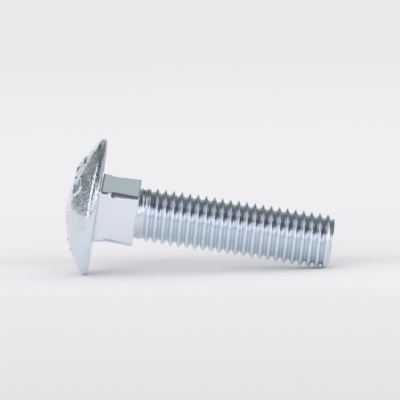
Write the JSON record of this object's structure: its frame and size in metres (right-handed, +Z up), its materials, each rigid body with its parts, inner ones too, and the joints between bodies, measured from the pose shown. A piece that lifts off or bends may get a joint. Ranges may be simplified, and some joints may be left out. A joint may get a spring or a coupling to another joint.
{
  "type": "carriage bolt",
  "caption": "Zinc-plated steel carriage bolt with a low domed round head, a square neck and a fully threaded M12 shank, lying on its rim and thread end.",
  "frame": {"origin": "on the surface that the bolt lies on, below the centre of its bounding box", "axes": "+Z up; +X from the head towards the thread end, with the bolt's own axis in the XZ plane, sloping down towards +X by 10.2 degrees"},
  "size_m": [0.0574, 0.0294, 0.029],
  "materials": {
    "zinc_plated_steel": "bright zinc plating with a faint blue tint, slightly mottled"
  },
  "bodies": {
    "root": {"carriage_bolt": "zinc_plated_steel"}
  },
  "joints": []
}
